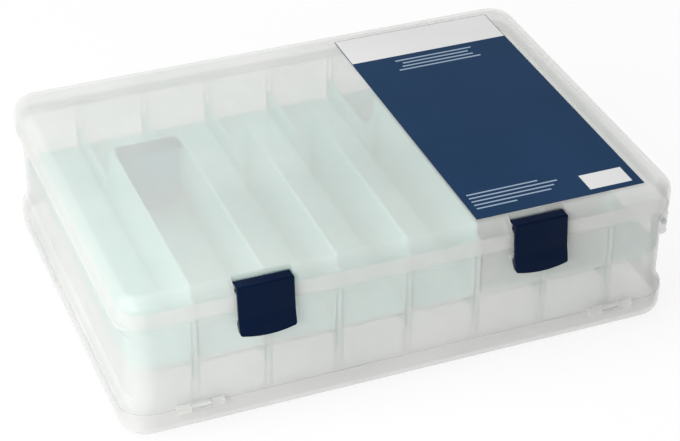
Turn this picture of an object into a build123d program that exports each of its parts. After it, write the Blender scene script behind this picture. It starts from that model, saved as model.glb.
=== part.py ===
from build123d import *
import os

os.makedirs("parts", exist_ok=True)

# A double-sided thread case: one ring of walls, a panel half way up that parts
# the upper trays from the lower ones, and a lid on each face. The lower half is
# the upper half turned over about the X axis through the middle of the case.
# X runs along the long side, Y from front to back, Z up; the case stands on Z = 0.

# ---- Overall sizes, mm
case_w = 375.0          # long side, over the lids
case_d = 268.0          # short side, over the lids
case_h = 104.0          # both lids shut
corner_r = 19.0         # upright corners of the lids
lid_h = 19.5            # height of a lid, over its skirt
lid_edge_r = 10.0       # rounding where a lid's top meets its skirt
lid_wall = 1.8
inner_edge = 6.5        # slope inside that rounding
frame_wall = 2.0
cut_over = 1.0          # how far a cut runs past the piece it is made in
end_step = 4.5          # how far the ring's end walls stand in from the lids
side_step = 1.4         # the same for the long walls
running_gap = 0.3       # between pieces that lie or slide on each other
lid_gap = 0.6           # lid skirt to the upstand inside it
flange_h = 3.2          # rim that a lid's skirt closes on
flange_inset = 0.4      # rim's edge, in from the lid's face
flare_h = 6.5           # height over which the walls flare out to the rim
upstand_h = 7.8         # wall that stands up inside the skirt

# ---- Trays
columns = 8
panel_t = 1.8           # panel between the upper and lower trays
ledge_t = 2.0           # ledge that carries the panel
ledge_reach = 3.0
ledge_clear = 0.5       # divider's foot to the ledge, over its height
divider_t = 1.8
rib_t = 1.6             # ribs that make the slots in the walls
rib_reach = 2.8
rib_end_gap = 2.0       # rib end, short of the upstand's edge
rib_root = 1.4          # how deep a rib runs into the wall
divider_top_gap = 0.6   # divider to the lid above it
low_wall_h = 15.0       # divider height over its low end
high_wall_back = 42.0   # where the high part of a divider ends, from the centre
sweep_top_down = 4.4    # top of the hollow curve, below the divider's top
divider_corner = 2.0    # cut on the top corners of a divider
shoulder_gap = 0.9      # divider to the latch pocket that drops in beside it
cross_slot_y = 36.0     # slot for a cross divider, from the centre to the back
cross_rib_reach = 1.5
cross_column = 2        # column that holds the cross divider
cross_top_w = 12.0      # finger strip along the top of the cross divider
cross_corner_r = 8.0

# ---- Latches
latch_w = 36.4
latch_left = -2.07      # latch centres, in columns from the middle of the case
latch_right = 1.835
latch_side_gap = 0.7
latch_corner = 1.0      # cut on the latch's top corners
pivot_in = 3.6          # latch pivot, in from the lid's front face
pivot_down = 4.7        # latch pivot, below the lid's top
bar_r = 1.3             # bar moulded across the lid's pocket
bar_gap = 0.1
bar_root = 0.5          # how deep the bar runs into the pocket's sides
hub_r = 3.3
hub_mouth = 2.0         # opening through which a hub snaps over its bar
pocket_gap = 0.5        # hub to the pocket's back and floor
pocket_lean = 1.5       # pocket's back wall leans back this far at its top
pocket_lean_h = 2.4     # height of that slope
crest_out = 2.2         # crease under the latch's top, out from the lid's face
crest_down = 0.6        # the crease, below the top of the hub
crest_r = 1.5
bend_out = 4.4          # bend in the latch's face, at the level of the catch
bend_down = 24.0        # the bend, below the lid's top
bend_r = 12.0
lip_out = 7.8           # lower edge of the finger lip
lip_down = 36.7         # the middle of that edge, below the lid's top
lip_bow = 2.3           # how far the middle hangs below the ends
lip_t = 1.8
lip_corner_r = 1.8
plate_t = 2.0           # latch, between its hub and its hook
cheek_t = 1.5           # cheeks behind the finger lip
hook_h = 2.2            # hook rib that passes under the catch ridge
hook_slope = 2.3        # height over which the hook runs out into the plate
throat_out = 0.6        # back of the plate where it leaves the hub, from the lid's face
throat_drop = 0.5       # this corner, below the pocket's floor
throat_rise = 1.6       # its upper corner, over the lower one
catch_down = 23.0       # top of the catch ridge, below the lid's top
catch_h = 4.2
catch_over = 1.5        # ridge runs this far past each side of the latch
catch_out = 0.5         # ridge nose, out from the lid's face
catch_root = 0.6        # how deep the ridge runs into the wall
catch_edge = 0.5        # cut under the nose
catch_flat = 1.4
snap_gap = 0.3          # ridge nose to the hook rib behind the latch

# ---- Hinges
hinge_w = 30.0
hinge_out = 3.0         # hinge axis, out from the lid's back face
clasp_w = 12.0          # open clasp on the rim that holds the lid's pin
clasp_mouth = 1.8
clasp_root = 1.0        # how deep a clasp runs into the rim
knuckle_r = 2.6
pin_r = 1.1
pin_gap = 0.1
knuckle_gap = 0.4
arm_rise = 1.2          # lid arm, over the knuckle
arm_out = 2.3           # corner of the arm's outer slope, from the hinge axis
arm_up = 1.3

# ---- Carrying handle on the right end
handle_z = 67.5
handle_reach = 35.0     # axis to the far edge of the grip
handle_span = 225.0     # over the arms
arm_w = 6.0
grip_w = 9.0
handle_r = 12.0         # outer corner of the bail
bail_edge = 0.9
trunnion_r = 1.85
trunnion_gap = 0.1
ear_w = 8.0
ear_gap = 0.5
ear_mouth = 3.0
ear_root = 1.7          # how deep an ear runs into the end wall
ear_step = 0.15         # ear's face, in from the outer side of the bail
ear_over = 1.0          # ear block, past the middle of each lobe
lobe_r = 2.9
lobe_step = 0.1         # lobe, in from the lid's end face
lobe_spacing = 13.0

# ---- Label card on the upper lid
label_w = 118.0
label_d = 241.5
label_t = 0.25
label_right = 22.5      # card to the lid's right end
label_front = 10.5      # card to the lid's front face

# ---- Levels and faces worked out from the sizes above
half_w = case_w / 2
half_d = case_d / 2
mid_z = case_h / 2
column_pitch = case_w / columns
latch_places = (latch_left * column_pitch, latch_right * column_pitch)
hinge_x = 3 * column_pitch
skirt_z = case_h - lid_h
flange_z = skirt_z - running_gap
waist_z = flange_z - flange_h
flare_z = waist_z - flare_h
upstand_z = flange_z + upstand_h
lid_under_z = case_h - lid_wall
panel_z = mid_z + panel_t / 2
ledge_z = mid_z - panel_t / 2 - running_gap
tray_z = panel_z + running_gap
divider_top_z = lid_under_z - divider_top_gap

waist_w = case_w - 2 * end_step
waist_d = case_d - 2 * side_step
waist_r = corner_r - side_step
room_w = waist_w - 2 * frame_wall
room_d = waist_d - 2 * frame_wall
room_r = waist_r - frame_wall
upstand_w = case_w - 2 * (lid_wall + lid_gap)
upstand_d = case_d - 2 * (lid_wall + lid_gap)
upstand_r = corner_r - lid_wall - lid_gap
clear_d = min(room_d, upstand_d - 2 * frame_wall)
rib_face = clear_d / 2 - rib_reach
seat_d = clear_d - 2 * running_gap
slot_half = divider_t / 2 + running_gap
pair_half = slot_half + rib_t

divider_x = [column_pitch * (i + 1 - columns / 2) for i in range(columns - 1)]

pivot_y = half_d - pivot_in
pivot_z = case_h - pivot_down
pocket_y = pivot_y - hub_r - pocket_gap
pocket_z = pivot_z - hub_r - pocket_gap
pocket_half = latch_w / 2 + latch_side_gap
catch_nose = half_d + catch_out
catch_low_z = case_h - catch_down - catch_h
hinge_y = half_d + hinge_out
hinge_z = flange_z - flange_h / 2
axle_x = half_w - end_step + trunnion_r + trunnion_gap + running_gap
half_span = handle_span / 2
ear_y = half_span + ear_gap


def block(size_x, size_y, radius, low, high):
    """Upright block with rounded corners, centred on the Z axis."""
    return Pos(0, 0, low) * extrude(RectangleRounded(size_x, size_y, radius), high - low)


def splay(lower, upper, low, high):
    """Block that changes evenly from one rounded rectangle to another."""
    sections = [Pos(0, 0, low) * RectangleRounded(*lower), Pos(0, 0, high) * RectangleRounded(*upper)]
    return loft(sections, ruled=True)


def box(low, high):
    """Box between two corners."""
    size = [b - a for a, b in zip(low, high)]
    middle = [(a + b) / 2 for a, b in zip(low, high)]
    return Pos(*middle) * Box(*size)


def rod(radius, x0, x1, y, z):
    """Round bar along X."""
    return Pos((x0 + x1) / 2, y, z) * Rot(0, 90, 0) * Cylinder(radius, x1 - x0)


def rod_y(radius, x, y0, y1, z):
    """Round bar along Y."""
    return Pos(x, (y0 + y1) / 2, z) * Rot(90, 0, 0) * Cylinder(radius, y1 - y0)


def side_profile(points, x0, x1, radii=None):
    """Solid with a side view given as (out, up) points, where out is towards the front."""
    corners = [(0, -out, up) for out, up in points]
    if radii:
        outline = FilletPolyline(*corners, radius=radii, close=True)
    else:
        outline = Polyline(*corners, close=True)
    return Pos(x0, 0, 0) * extrude(make_face(outline), x1 - x0, dir=(1, 0, 0))


def turned_over(shape):
    """The same shape on the other face of the case."""
    return Pos(0, 0, mid_z) * Rot(180, 0, 0) * Pos(0, 0, -mid_z) * shape


def both_faces(shape):
    return shape + turned_over(shape)


# ---- Ring of walls

def wall_ring():
    """Waist, flaring out at both ends to a rim with an upstand on it."""
    rim = (case_w - 2 * flange_inset, case_d - 2 * flange_inset, corner_r - flange_inset)
    mouth = (upstand_w - 2 * frame_wall, upstand_d - 2 * frame_wall, upstand_r - frame_wall)
    room = (room_w, room_d, room_r)
    low = case_h - flare_z
    outside = block(waist_w, waist_d, waist_r, low, flare_z)
    flare = splay((waist_w, waist_d, waist_r), rim, flare_z, waist_z)
    outside += both_faces(flare + block(*rim, waist_z, flange_z)
                          + block(upstand_w, upstand_d, upstand_r, flange_z, upstand_z))
    inside = block(*room, low, flare_z)
    inside += both_faces(splay(room, mouth, flare_z, waist_z) + block(*mouth, waist_z, case_h))
    return outside - inside


def slot_ribs():
    """Pairs of upright ribs on the long walls, one slot for each divider end."""
    top = upstand_z - rib_end_gap
    ribs = []
    for x in divider_x:
        for inner, outer in ((slot_half, pair_half), (-pair_half, -slot_half)):
            for face in (-1, 1):
                ends = sorted((face * rib_face, face * (clear_d / 2 + rib_root)))
                ribs.append(box((x + inner, ends[0], case_h - top), (x + outer, ends[1], top)))
    return ribs


def panel_ledge():
    """Straight ledges along the four walls, stopping short of the corners."""
    low = ledge_z - ledge_t
    end_y = room_d / 2 - room_r
    side_x = room_w / 2 - room_r
    ledges = []
    for side in (-1, 1):
        x0, x1 = sorted((side * (room_w / 2 - ledge_reach), side * (room_w / 2 + rib_root)))
        ledges.append(box((x0, -end_y, low), (x1, end_y, ledge_z)))
        y0, y1 = sorted((side * (room_d / 2 - ledge_reach), side * (room_d / 2 + rib_root)))
        ledges.append(box((-side_x, y0, low), (side_x, y1, ledge_z)))
    return ledges


def catch_ridge(x):
    """Ridge on the front wall that a latch closes over."""
    root = waist_d / 2 - catch_root
    flat_z = catch_low_z + catch_edge + catch_flat
    points = [(root, catch_low_z), (catch_nose - catch_edge, catch_low_z),
              (catch_nose, catch_low_z + catch_edge), (catch_nose, flat_z),
              (root, catch_low_z + catch_h)]
    reach = latch_w / 2 + catch_over
    return side_profile(points, x - reach, x + reach)


def hinge_clasp(x):
    """Clasp on the rim at the back, open behind so that the lid's pin snaps in."""
    x0 = x - clasp_w / 2
    x1 = x + clasp_w / 2
    web = box((x0, half_d - flange_inset - clasp_root, waist_z), (x1, hinge_y, flange_z))
    clasp = web + rod(knuckle_r, x0, x1, hinge_y, hinge_z)
    clasp -= rod(pin_r + pin_gap, x0 - cut_over, x1 + cut_over, hinge_y, hinge_z)
    mouth = clasp_mouth / 2
    return clasp - box((x0 - cut_over, hinge_y, hinge_z - mouth),
                       (x1 + cut_over, hinge_y + knuckle_r + cut_over, hinge_z + mouth))


def handle_ear(side):
    """Open bearing with an upper and a lower lobe; the bail's end snaps into it."""
    face_x = axle_x + trunnion_r - ear_step
    y0, y1 = sorted((side * ear_y, side * (ear_y + ear_w)))
    half_h = lobe_spacing / 2 + ear_over
    root_x = half_w - end_step - ear_root
    ear = box((root_x, y0, handle_z - half_h), (face_x, y1, handle_z + half_h))
    for up in (-1, 1):
        lobe_z = handle_z + up * lobe_spacing / 2
        ear += rod_y(lobe_r, half_w - lobe_r - lobe_step, y0, y1, lobe_z)
    ear -= rod_y(trunnion_r + trunnion_gap, axle_x, y0 - cut_over, y1 + cut_over, handle_z)
    mouth = ear_mouth / 2
    return ear - box((axle_x, y0 - cut_over, handle_z - mouth),
                     (half_w + cut_over, y1 + cut_over, handle_z + mouth))


def case_frame():
    frame = wall_ring() + panel_ledge() + slot_ribs()
    for x in latch_places:
        frame += both_faces(catch_ridge(x))
    for x in (-hinge_x, hinge_x):
        frame += both_faces(hinge_clasp(x))
    for side in (-1, 1):
        frame += handle_ear(side)
    return frame


# ---- Panel between the trays

def partition_floor():
    """Panel dropped in from above; its notches pass the slot ribs."""
    gap = 2 * running_gap
    low = mid_z - panel_t / 2
    panel = block(room_w - gap, seat_d, room_r - running_gap, low, panel_z)
    reach = pair_half + running_gap
    for x in divider_x:
        for y0, y1 in ((-half_d, running_gap - rib_face), (rib_face - running_gap, half_d)):
            panel -= box((x - reach, y0, low - cut_over), (x + reach, y1, panel_z + cut_over))
    return panel


# ---- Dividers

def divider(x):
    """Upper divider: full height in front, a hollow sweep, then a low wall to the back."""
    end = seat_d / 2
    foot = ledge_t + ledge_clear + end - (room_d / 2 - ledge_reach)
    shoulder_y = pocket_y - lid_wall - shoulder_gap
    shoulder_z = pocket_z - lid_wall - divider_top_gap
    low_z = tray_z + low_wall_h
    sweep_z = divider_top_z - sweep_top_down
    sweep_r = sweep_z - low_z
    sweep_middle = sweep_r * (1 - 0.5 ** 0.5)
    front = Polyline((high_wall_back, divider_top_z), (-shoulder_y, divider_top_z),
                     (-shoulder_y, shoulder_z), (-end, shoulder_z), (-end, tray_z + foot),
                     (foot - end, tray_z), (end - foot, tray_z), (end, tray_z + foot),
                     (end, low_z), (high_wall_back + sweep_r, low_z))
    sweep = ThreePointArc((high_wall_back + sweep_r, low_z),
                          (high_wall_back + sweep_middle, low_z + sweep_middle),
                          (high_wall_back, sweep_z))
    outline = make_face([front, sweep,
                         Line((high_wall_back, sweep_z), (high_wall_back, divider_top_z))])
    top_corners = outline.vertices().group_by(Axis.Y)[-1]
    plate = extrude(chamfer(top_corners, divider_corner), divider_t / 2, both=True)
    plate = Pos(x, 0, 0) * Rot(0, 0, 90) * Rot(90, 0, 0) * plate
    reach = divider_t / 2 + cross_rib_reach
    for y0, y1 in ((-pair_half, -slot_half), (slot_half, pair_half)):
        plate += box((x - reach, cross_slot_y + y0, tray_z), (x + reach, cross_slot_y + y1, sweep_z))
    return plate


def cross_divider():
    """Plate across one column, with a finger strip along its top edge."""
    x = divider_x[cross_column - 1] - column_pitch / 2
    y = cross_slot_y
    half = column_pitch / 2 - divider_t / 2 - running_gap
    outline = Pos(0, (tray_z + divider_top_z) / 2) * Rectangle(2 * half, divider_top_z - tray_z)
    feet = outline.vertices().group_by(Axis.Y)[0]
    outline = fillet(feet, cross_corner_r)
    plate = Pos(x, y, 0) * Rot(90, 0, 0) * extrude(outline, divider_t / 2, both=True)
    strip_half = half - cross_rib_reach
    strip = box((x - strip_half, y - cross_top_w / 2, divider_top_z - divider_t),
                (x + strip_half, y + cross_top_w / 2, divider_top_z))
    return plate + strip


# ---- Lids

def lid_shell():
    """Outside and inside of a lid, each one block."""
    outer = block(case_w, case_d, corner_r, skirt_z, case_h)
    outer = fillet(outer.faces().sort_by(Axis.Z)[-1].edges(), lid_edge_r)
    inner_w = case_w - 2 * lid_wall
    inner_d = case_d - 2 * lid_wall
    inner = block(inner_w, inner_d, corner_r - lid_wall, skirt_z - cut_over, lid_under_z)
    inner = chamfer(inner.faces().sort_by(Axis.Z)[-1].edges(), inner_edge)
    return outer, inner


def latch_pocket(x):
    """What is cut from the lid for a latch; the back wall leans back at its top."""
    points = [(half_d + cut_over, pocket_z), (pocket_y, pocket_z),
              (pocket_y, case_h - pocket_lean_h), (pocket_y - pocket_lean, case_h),
              (pocket_y - pocket_lean, case_h + cut_over), (half_d + cut_over, case_h + cut_over)]
    return side_profile(points, x - pocket_half, x + pocket_half)


def lid():
    """Shallow lid with a closed pocket and a bar for each latch, and hinge arms behind."""
    outer, inner = lid_shell()
    shell = outer - inner
    for x in latch_places:
        reach = pocket_half + lid_wall
        wrap = box((x - reach, -half_d, pocket_z - lid_wall),
                   (x + reach, lid_wall - pocket_y, case_h))
        shell += wrap & outer
    for x in latch_places:
        shell -= latch_pocket(x)
        reach = pocket_half + bar_root
        shell += rod(bar_r, x - reach, x + reach, -pivot_y, pivot_z)
    for x in (-hinge_x, hinge_x):
        shell += hinge_arms(x)
    return shell


def hinge_arms(x):
    """Two arms behind the lid with a pin between them."""
    arms = rod(pin_r, x - hinge_w / 2, x + hinge_w / 2, hinge_y, hinge_z)
    inner = clasp_w / 2 + knuckle_gap
    root = half_d - lid_wall / 2
    top = hinge_z + knuckle_r + arm_rise
    side = [(root, skirt_z), (half_d, skirt_z), (half_d, hinge_z), (hinge_y, hinge_z),
            (hinge_y + arm_out, hinge_z + arm_up), (hinge_y + arm_rise / 2, top), (root, top)]
    for x0, x1 in ((x - hinge_w / 2, x - inner), (x + inner, x + hinge_w / 2)):
        arms += side_profile([(-y, z) for y, z in side], x0, x1)
        arms += rod(knuckle_r, x0, x1, hinge_y, hinge_z)
    return arms


# ---- Latches

def latch(x):
    """Latch on the front of the upper lid, as it lies when it is shut."""
    half = latch_w / 2
    top_z = pivot_z + hub_r
    lip_z = case_h - lip_down
    foot_z = lip_z - cut_over
    bend = (half_d + bend_out, case_h - bend_down)
    lip_lean = (lip_out - bend_out) / (lip_down - bend_down)
    foot_out = half_d + lip_out + lip_lean * cut_over
    hook_out = catch_nose + snap_gap
    hook_z = catch_low_z - running_gap
    throat = (half_d + throat_out, pocket_z - throat_drop)
    side = [(pivot_y, top_z), (half_d + crest_out, top_z - crest_down), bend,
            (foot_out, foot_z), (foot_out - lip_t, foot_z), (hook_out, hook_z - hook_h),
            (hook_out, hook_z), (bend[0] - plate_t, hook_z + hook_slope), throat,
            (throat[0] - throat_out, throat[1] + throat_rise), (pivot_y, pivot_z)]
    radii = [0] * len(side)
    radii[1] = crest_r
    radii[2] = bend_r
    body = side_profile(side, x - half, x + half, radii)
    body += rod(hub_r, x - half, x + half, -pivot_y, pivot_z)
    hollow_z = hook_z - hook_h
    hollow = [(hook_out - cut_over, hollow_z),
              (bend[0] - plate_t + lip_lean * (hook_slope + hook_h), hollow_z),
              (foot_out - lip_t, foot_z), (hook_out - cut_over, foot_z)]
    body -= side_profile(hollow, x - half + cheek_t, x + half - cheek_t)
    body -= rod(bar_r + bar_gap, x - half - cut_over, x + half + cut_over, -pivot_y, pivot_z)
    body -= box((x - half - cut_over, -pivot_y, pivot_z - hub_mouth / 2),
                (x + half + cut_over, cut_over + hub_r - pivot_y, pivot_z + hub_mouth / 2))
    end_z = lip_z + lip_bow
    face = make_face([Polyline((-half, end_z), (-half, top_z), (half, top_z), (half, end_z)),
                      ThreePointArc((half, end_z), (0, lip_z), (-half, end_z))])
    rows = face.vertices().group_by(Axis.Y)
    face = chamfer(rows[-1], latch_corner)
    face = fillet(face.vertices().group_by(Axis.Y)[0], lip_corner_r)
    depth = lip_out + half_d - pivot_y + hub_r + cut_over
    cutter = Pos(x, -pivot_y, 0) * Rot(90, 0, 0) * extrude(face, depth, both=True)
    return body & cutter


# ---- Handle

def carry_handle():
    """Flat bail that folds down against the right end wall."""
    low = handle_z - handle_reach
    tall = 2 * handle_reach
    outer = Pos(0, low + tall / 2) * RectangleRounded(handle_span, tall, handle_r)
    hole_w = handle_span - 2 * arm_w
    hole = Pos(0, low + grip_w + tall / 2) * RectangleRounded(hole_w, tall, handle_r - arm_w / 2)
    above = Pos(0, handle_z + tall / 2) * Rectangle(2 * handle_span, tall)
    bail = extrude(outer - hole - above, trunnion_r, both=True)
    below = bail.edges().filter_by(lambda e: e.center().Y < handle_z - bail_edge / 2)
    levels = below.group_by(Axis.Z)
    bail = chamfer(levels[0] + levels[-1], bail_edge)
    bail = Pos(axle_x, 0, 0) * Rot(0, 0, 90) * Rot(90, 0, 0) * bail
    for side in (-1, 1):
        ends = sorted((side * (half_span - arm_w), side * (ear_y + ear_w)))
        bail += rod_y(trunnion_r, axle_x, ends[0], ends[1], handle_z)
    return bail


# ---- Label

def label_card():
    x = half_w - label_right - label_w / 2
    y = label_front + label_d / 2 - half_d
    return Pos(x, y, case_h + label_t / 2) * Box(label_w, label_d, label_t)


# ---- The pieces, each in its own file

pieces = {
    "case_frame": case_frame(),
    "partition_floor": partition_floor(),
    "cross_divider": cross_divider(),
    "carry_handle": carry_handle(),
    "label_card": label_card(),
}
for number, x in enumerate(divider_x, start=1):
    plate = divider(x)
    pieces[f"upper_divider_{number}"] = plate
    pieces[f"lower_divider_{number}"] = turned_over(plate)
upper_lid = lid()
pieces["top_lid"] = upper_lid
pieces["bottom_lid"] = turned_over(upper_lid)
for name, x in zip(("left", "right"), latch_places):
    piece = latch(x)
    pieces[f"front_latch_{name}"] = piece
    pieces[f"back_latch_{name}"] = turned_over(piece)

for name, shape in pieces.items():
    export_step(shape, f"parts/{name}.step")
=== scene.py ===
import math

import bmesh
import bpy
from mathutils import Matrix, Vector


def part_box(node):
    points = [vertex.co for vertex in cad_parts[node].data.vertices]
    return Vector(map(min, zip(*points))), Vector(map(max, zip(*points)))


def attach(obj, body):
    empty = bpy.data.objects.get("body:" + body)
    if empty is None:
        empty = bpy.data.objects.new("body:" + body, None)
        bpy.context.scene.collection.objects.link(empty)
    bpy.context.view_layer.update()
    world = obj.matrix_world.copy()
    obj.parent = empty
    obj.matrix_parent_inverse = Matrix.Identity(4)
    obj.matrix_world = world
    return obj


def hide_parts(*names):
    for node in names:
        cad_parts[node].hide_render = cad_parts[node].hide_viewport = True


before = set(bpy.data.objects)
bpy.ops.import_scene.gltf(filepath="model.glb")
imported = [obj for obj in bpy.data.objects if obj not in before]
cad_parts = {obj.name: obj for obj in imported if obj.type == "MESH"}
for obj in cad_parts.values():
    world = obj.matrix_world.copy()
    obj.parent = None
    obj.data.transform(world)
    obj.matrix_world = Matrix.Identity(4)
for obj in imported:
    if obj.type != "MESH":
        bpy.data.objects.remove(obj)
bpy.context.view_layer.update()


# ---- Ring of walls
# The waist, rims and upstands that everything else is fitted to, moulded in one
# piece from frosted polypropylene. It is a cloudy, almost neutral white, with an
# eggshell finish on its outer faces.

MM = 0.001
weld_mm = 0.002             # corners nearer to each other than this are one
flat_deg = 0.6              # faces that turn less than this are one flat face
round_deg = 40.0            # sharper edges than this are rounded, where a piece asks for it
crease_deg = 28.0           # sharper edges than this still read as a crease
refraction = 1.49           # index of polypropylene
cloud_scale = 14.0          # clouds of tint, to a metre
cloud_detail = 3.0
cloud_edges = (0.35, 0.65)
duller, glossier = 0.07, 0.05
grain_detail = 2.0
grain_strength = 0.5


def moulding(node, body, round_mm=0.0, round_steps=2):
    """Smooth-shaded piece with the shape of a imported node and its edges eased."""
    shape = bmesh.new()
    shape.from_mesh(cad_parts[node].data)
    bmesh.ops.remove_doubles(shape, verts=shape.verts, dist=weld_mm * MM)
    bmesh.ops.dissolve_limit(
        shape, angle_limit=math.radians(flat_deg), verts=shape.verts, edges=shape.edges
    )
    if round_mm:
        sharp = [edge for edge in shape.edges
                 if edge.is_manifold and edge.calc_face_angle(0) > math.radians(round_deg)]
        bmesh.ops.bevel(
            shape, geom=sharp, offset=round_mm * MM, affect="EDGES", segments=round_steps,
            profile=0.5, material=-1, clamp_overlap=True,
        )
    for face in shape.faces:
        face.smooth = True
    for edge in shape.edges:
        edge.smooth = not edge.is_manifold or edge.calc_face_angle(0) < math.radians(crease_deg)
    mesh = bpy.data.meshes.new(node + "_moulding")
    shape.to_mesh(mesh)
    shape.free()
    piece = bpy.data.objects.new(node + "_moulding", mesh)
    bpy.context.scene.collection.objects.link(piece)
    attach(piece, body)
    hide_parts(node)
    return piece


def plastic(name, light, dark, cover, rough, grain_mm=0.9, grain_deep=0.02,
            gloss=0.5, tint=(1, 1, 1)):
    """Moulded plastic: two close tints in slow clouds, and a fine grain in the surface."""
    material = bpy.data.materials.new(name)
    material.use_nodes = True
    tree = material.node_tree
    shader = tree.nodes["Principled BSDF"]
    shader.inputs["Alpha"].default_value = cover
    shader.inputs["IOR"].default_value = refraction
    shader.inputs["Specular IOR Level"].default_value = gloss
    shader.inputs["Specular Tint"].default_value = (*tint, 1)
    place = tree.nodes.new("ShaderNodeTexCoord")
    clouds = tree.nodes.new("ShaderNodeTexNoise")
    clouds.inputs["Scale"].default_value = cloud_scale
    clouds.inputs["Detail"].default_value = cloud_detail
    tints = tree.nodes.new("ShaderNodeValToRGB")
    tints.color_ramp.elements[0].position = cloud_edges[0]
    tints.color_ramp.elements[0].color = (*dark, 1)
    tints.color_ramp.elements[1].position = cloud_edges[1]
    tints.color_ramp.elements[1].color = (*light, 1)
    sheen = tree.nodes.new("ShaderNodeMapRange")
    sheen.inputs["To Min"].default_value = rough - glossier
    sheen.inputs["To Max"].default_value = rough + duller
    grain = tree.nodes.new("ShaderNodeTexNoise")
    grain.inputs["Scale"].default_value = 1 / (grain_mm * MM)
    grain.inputs["Detail"].default_value = grain_detail
    relief = tree.nodes.new("ShaderNodeBump")
    relief.inputs["Strength"].default_value = grain_strength
    relief.inputs["Distance"].default_value = grain_deep * MM
    link = tree.links.new
    link(place.outputs["Object"], clouds.inputs["Vector"])
    link(place.outputs["Object"], grain.inputs["Vector"])
    link(clouds.outputs["Fac"], tints.inputs["Fac"])
    link(tints.outputs["Color"], shader.inputs["Base Color"])
    link(clouds.outputs["Fac"], sheen.inputs["Value"])
    link(sheen.outputs["Result"], shader.inputs["Roughness"])
    link(grain.outputs["Fac"], relief.inputs["Height"])
    link(relief.outputs["Normal"], shader.inputs["Normal"])
    return material


frosted = plastic("frosted_polypropylene", light=(0.86, 0.86, 0.84), dark=(0.80, 0.81, 0.79),
                  cover=0.44, rough=0.34)
ring = moulding("case_frame", "case")
ring.data.materials.append(frosted)

# ---- Panel between the trays
# One flat sheet that lies on the ring's ledge and parts the upper trays from the
# lower ones. It is the same mint polypropylene as the dividers.

mint = plastic("mint_polypropylene", light=(0.54, 0.88, 0.82), dark=(0.48, 0.83, 0.76),
               cover=0.8, rough=0.38)
panel = moulding("partition_floor", "case")
panel.data.materials.append(mint)

# ---- Dividers
# Seven plates in each face of the case, held in slots of the long walls. Each runs
# high from the front and sweeps down behind the middle; the lower seven are the
# same plates turned over.

plate_round = 0.35          # mm, also on the cross divider
columns = 8

for number in range(1, columns):
    for side in ("upper", "lower"):
        plate = moulding(f"{side}_divider_{number}", "case", plate_round)
        plate.data.materials.append(mint)

# ---- Cross divider
# A small plate set across the second column, moulded in teal, with a finger strip
# of a deeper teal on top.

strip_h = 2.0               # mm

teal = plastic("teal_polypropylene", light=(0.16, 0.54, 0.60), dark=(0.13, 0.48, 0.54),
               cover=1.0, rough=0.36)
deep_teal = plastic("deep_teal_grip", light=(0.03, 0.20, 0.21), dark=(0.02, 0.17, 0.18),
                    cover=1.0, rough=0.36)
cross = moulding("cross_divider", "case", plate_round)
cross.data.materials.append(teal)
cross.data.materials.append(deep_teal)
strip_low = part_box("cross_divider")[1][2] - strip_h * MM
for face in cross.data.polygons:
    face.material_index = int(face.center.z > strip_low)

# ---- Lids
# Shallow covers in a clearer frosted polypropylene than the ring. Each has two
# latch pockets on one side, and arms with moulded pins for its hinge on the other.

cover_plastic = plastic("frosted_lid", light=(0.88, 0.87, 0.85), dark=(0.82, 0.82, 0.80),
                        cover=0.35, rough=0.30)
for name in ("top_lid", "bottom_lid"):
    cover = moulding(name, name)
    cover.data.materials.append(cover_plastic)

# ---- Latches
# Glossy navy polypropylene, moulded with a snap hub on top and a finger lip below.
# Each clips round the bar in its lid's pocket.

latch_round, latch_round_steps = 0.5, 3     # mm, faces over the round

navy = plastic("navy_latch", light=(0.002, 0.006, 0.024), dark=(0.002, 0.005, 0.020),
               cover=1.0, rough=0.22, grain_mm=2.0, grain_deep=0.01,
               gloss=0.12, tint=(0.3, 0.6, 1.0))
for name in ("front_latch_left", "front_latch_right", "back_latch_left", "back_latch_right"):
    latch = moulding(name, name, latch_round, latch_round_steps)
    latch.data.materials.append(navy)

# ---- Handle
# A flat bail of pale grey polypropylene that folds down against the end wall. Its
# two stubs are snapped into open ears on the ring.

bail_plastic = plastic("handle_polypropylene", light=(0.66, 0.69, 0.69),
                       dark=(0.62, 0.65, 0.65), cover=0.9, rough=0.35)
bail = moulding("carry_handle", "carry_handle")
bail.data.materials.append(bail_plastic)

# ---- Label card
# A satin film card that lies on the upper lid. It is printed navy, with a white
# band at its far end, a white panel at its right front corner, and two groups of
# fine pale rules.

ink_thick, ink_middle = 0.06, 0.04          # mm, the middle over the card's face
band = (0.4, 207.5, 117.2, 33.6)            # mm: left, front, width, depth
corner_panel = (82.0, 5.0, 30.0, 17.0)
far_widths, far_middle, far_first, far_pitch, far_thick = (58, 50, 54, 62), 59, 200, 4.2, 1.5
near_widths, near_left, near_first, near_pitch, near_thick = (50, 62, 58, 54, 28), 5, 26, 4, 1.3

card_film = dict(cover=1.0, rough=0.40, grain_mm=3.0, grain_deep=0.005)
print_navy = plastic("card_navy", light=(0.009, 0.034, 0.086), dark=(0.007, 0.029, 0.076),
                     gloss=0.17, tint=(0.2, 0.6, 1.0), **card_film)
print_white = plastic("card_white", light=(0.67, 0.67, 0.67), dark=(0.64, 0.64, 0.64),
                      gloss=0.2, **card_film)
print_pale = plastic("card_rules", light=(0.30, 0.38, 0.48), dark=(0.26, 0.34, 0.44),
                     gloss=0.2, **card_film)
card = moulding("label_card", "top_lid")
card.data.materials.append(print_navy)
card_low, card_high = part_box("label_card")


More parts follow.
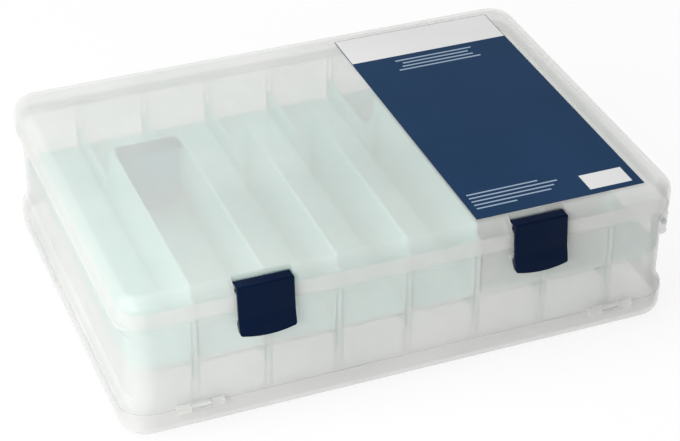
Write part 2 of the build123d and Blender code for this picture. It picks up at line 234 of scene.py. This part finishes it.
def printed(name, ink, patches):
    """Thin film of one ink, in rectangles measured from the card's left front corner."""
    film = bmesh.new()
    for left, front, width, depth in patches:
        middle = Vector((card_low[0] + (left + width / 2) * MM,
                         card_low[1] + (front + depth / 2) * MM,
                         card_high[2] + ink_middle * MM))
        size = Matrix.Diagonal((width * MM, depth * MM, ink_thick * MM, 1))
        bmesh.ops.create_cube(film, size=1.0, matrix=Matrix.Translation(middle) @ size)
    mesh = bpy.data.meshes.new(name)
    film.to_mesh(mesh)
    film.free()
    piece = bpy.data.objects.new(name, mesh)
    bpy.context.scene.collection.objects.link(piece)
    piece.data.materials.append(ink)
    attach(piece, "top_lid")
    return piece


printed("card_band", print_white, [band])
printed("card_panel", print_white, [corner_panel])
rules = [(far_middle - width / 2, far_first - far_pitch * row, width, far_thick)
         for row, width in enumerate(far_widths)]
rules += [(near_left, near_first - near_pitch * row, width, near_thick)
          for row, width in enumerate(near_widths)]
printed("card_rules", print_pale, rules)

# ---- Table, lights and camera
# A plain white table under an even white room, with soft lights from the left and
# from overhead and a weaker one in front. The camera stands where the photograph's
# did.

table_half, table_squares = 6.0, 8          # m
table_drop = 0.2                            # mm, clear of the case's foot
table_white, table_rough = 0.86, 0.9
shown_white = 0.86                          # share of pure white that the camera gets
room_light = 0.47


def white_ground(name):
    """White to the camera and in gloss, with the shadow of the object kept faintly."""
    material = bpy.data.materials.new(name)
    material.use_nodes = True
    tree = material.node_tree
    shader = tree.nodes["Principled BSDF"]
    shader.inputs["Base Color"].default_value = (table_white, table_white, table_white, 1)
    shader.inputs["Roughness"].default_value = table_rough
    glow = tree.nodes.new("ShaderNodeEmission")
    glow.inputs["Strength"].default_value = 1.0
    rays = tree.nodes.new("ShaderNodeLightPath")
    clear = tree.nodes.new("ShaderNodeMath")
    clear.operation = "MAXIMUM"
    seen = tree.nodes.new("ShaderNodeMath")
    seen.operation = "MAXIMUM"
    share = tree.nodes.new("ShaderNodeMath")
    share.operation = "MULTIPLY"
    share.inputs[1].default_value = shown_white
    mix = tree.nodes.new("ShaderNodeMixShader")
    link = tree.links.new
    link(rays.outputs["Is Camera Ray"], seen.inputs[0])
    link(rays.outputs["Is Glossy Ray"], seen.inputs[1])
    link(seen.outputs[0], clear.inputs[0])
    link(rays.outputs["Is Transmission Ray"], clear.inputs[1])
    link(clear.outputs[0], share.inputs[0])
    link(share.outputs[0], mix.inputs["Fac"])
    link(shader.outputs["BSDF"], mix.inputs[1])
    link(glow.outputs["Emission"], mix.inputs[2])
    link(mix.outputs["Shader"], tree.nodes["Material Output"].inputs["Surface"])
    return material


sweep = bmesh.new()
bmesh.ops.create_grid(sweep, x_segments=table_squares, y_segments=table_squares,
                      size=table_half)
ground_mesh = bpy.data.meshes.new("table")
sweep.to_mesh(ground_mesh)
sweep.free()
table = bpy.data.objects.new("table", ground_mesh)
bpy.context.scene.collection.objects.link(table)
table.location.z = -table_drop * MM
table.data.materials.append(white_ground("white_table"))

world = bpy.data.worlds.new("studio")
bpy.context.scene.world = world
world.use_nodes = True
sky = world.node_tree
surround = sky.nodes["Background"]
surround.inputs["Color"].default_value = (1, 1, 1, 1)
surround.inputs["Strength"].default_value = room_light
backdrop = sky.nodes.new("ShaderNodeBackground")
backdrop.inputs["Color"].default_value = (1, 1, 1, 1)
backdrop.inputs["Strength"].default_value = 1.0
sky_rays = sky.nodes.new("ShaderNodeLightPath")
sky_mix = sky.nodes.new("ShaderNodeMixShader")
sky.links.new(sky_rays.outputs["Is Camera Ray"], sky_mix.inputs["Fac"])
sky.links.new(surround.outputs["Background"], sky_mix.inputs[1])
sky.links.new(backdrop.outputs["Background"], sky_mix.inputs[2])
sky.links.new(sky_mix.outputs["Shader"], sky.nodes["World Output"].inputs["Surface"])


def soft_light(name, place, aim, width, height, watts):
    """Rectangular soft light at one place, in metres, turned to face another."""
    lamp = bpy.data.lights.new(name, "AREA")
    lamp.shape = "RECTANGLE"
    lamp.size = width
    lamp.size_y = height
    lamp.energy = watts
    holder = bpy.data.objects.new(name, lamp)
    bpy.context.scene.collection.objects.link(holder)
    holder.location = place
    holder.rotation_euler = (Vector(aim) - Vector(place)).to_track_quat("-Z", "Y").to_euler()


soft_light("left_softbox", place=(-0.95, -0.30, 0.85), aim=(-0.05, 0, 0.05),
           width=0.9, height=0.7, watts=7.5)
soft_light("overhead_softbox", place=(-0.3, 0.4, 1.7), aim=(0, 0, 0.05),
           width=1.4, height=1.2, watts=14.0)
soft_light("front_fill", place=(-0.75, -0.8, 0.45), aim=(-0.2, -0.13, 0.05),
           width=0.5, height=0.4, watts=4.0)

sensor_mm, lens_mm = 36.0, 107.33
azimuth, elevation, roll = (math.radians(angle) for angle in (-21.96, 34.086, 0.559))
looked_at = Vector((0.00512, 0, 0.03555))   # m
distance = 1.3807                           # m

view = bpy.data.cameras.new("photo_view")
view.sensor_width = sensor_mm
view.sensor_fit = "HORIZONTAL"
view.lens = lens_mm
camera = bpy.data.objects.new("photo_view", view)
bpy.context.scene.collection.objects.link(camera)
back = Vector((math.sin(azimuth) * math.cos(elevation),
               -math.cos(azimuth) * math.cos(elevation), math.sin(elevation)))
right = Vector((0, 0, 1)).cross(back).normalized()
up = back.cross(right)
turned_right = right * math.cos(roll) + up * math.sin(roll)
turned_up = up * math.cos(roll) - right * math.sin(roll)
stand = looked_at + back * distance
camera.matrix_world = Matrix.Translation(stand) @ Matrix(
    (turned_right, turned_up, back)
).transposed().to_4x4()
bpy.context.scene.camera = camera
bpy.context.scene.view_settings.view_transform = "Standard"
